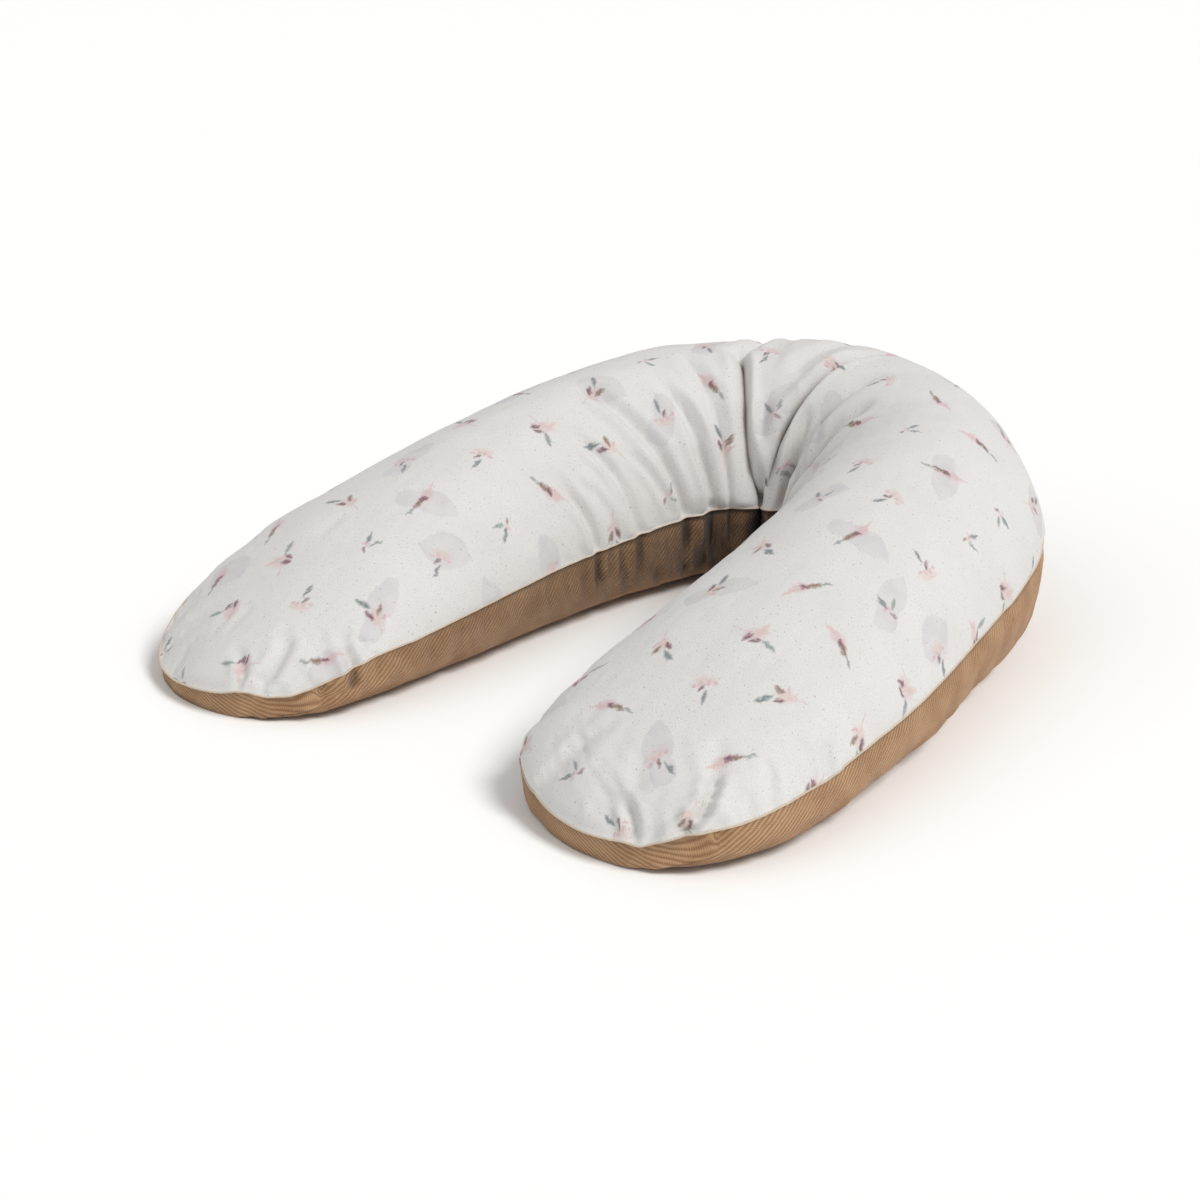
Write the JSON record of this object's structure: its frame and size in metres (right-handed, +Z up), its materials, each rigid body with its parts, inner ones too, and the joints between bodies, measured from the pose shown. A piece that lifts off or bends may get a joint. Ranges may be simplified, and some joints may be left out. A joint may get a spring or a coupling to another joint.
{
  "type": "nursing pillow",
  "caption": "U-shaped nursing pillow with a zipped two-panel knit cover over a stuffed inner cushion, flexible at the bend.",
  "frame": {"origin": "bottom centre of the bounding box of the pillow lying flat", "axes": "+Z up, -Y towards the open end of the U, +X to the right arm; the pillow is symmetric about X = 0 apart from its zip"},
  "size_m": [0.6996, 0.7535, 0.222],
  "materials": {
    "printed_jersey": "off-white cotton jersey with a small sprig print",
    "rib_knit": "caramel fine-ribbed knit",
    "seam_edge": "cream turned edge",
    "ticking": "plain white woven cotton",
    "hollow_fibre": "lofted polyester fibre",
    "zip_tape": "woven beige tape",
    "zip_coil": "beige nylon coil",
    "zip_metal": "satin antique brass",
    "sewing_thread": "cream sewing thread",
    "label_tape": "blank white satin tape"
  },
  "bodies": {
    "left_arm": {"cover_top_left": "printed_jersey", "cover_bottom_left": "rib_knit", "seam_allowance_left": "seam_edge", "casing_top_left": "ticking", "casing_bottom_left": "ticking", "fill_left": "hollow_fibre", "zip_tape_upper": "zip_tape", "zip_tape_lower": "zip_tape", "zip_coil_upper": "zip_coil", "zip_coil_lower": "zip_coil", "zip_top_stops": "zip_metal", "zip_bottom_stop": "zip_metal", "zip_stitching_upper": "sewing_thread", "zip_stitching_lower": "sewing_thread", "care_label": "label_tape"},
    "right_arm": {"cover_top_right": "printed_jersey", "cover_bottom_right": "rib_knit", "seam_allowance_right": "seam_edge", "casing_top_right": "ticking", "casing_bottom_right": "ticking", "fill_right": "hollow_fibre"},
    "zip_slider": {"zip_slider": "zip_metal"},
    "zip_pull": {"zip_pull_tab": "zip_metal"}
  },
  "joints": [
    {"name": "arm_flex", "type": "hinge", "parent": "left_arm", "child": "right_arm", "pos_m": [0, 0.26842, 0], "axis": [0, 0, 1], "range_deg": [-12, 45]},
    {"name": "slider_travel", "type": "hinge", "parent": "left_arm", "child": "zip_slider", "pos_m": [1.33219, -0.34425, 0.08128], "axis": [-0.0175, -0.0704, 0.9974], "range_deg": [0, 9.32]},
    {"name": "pull_swing", "type": "hinge", "parent": "zip_slider", "child": "zip_pull", "pos_m": [-0.29405, 0.11786, 0.08537], "axis": [0.0175, 0.0704, -0.9974], "range_deg": [0, 170]}
  ]
}
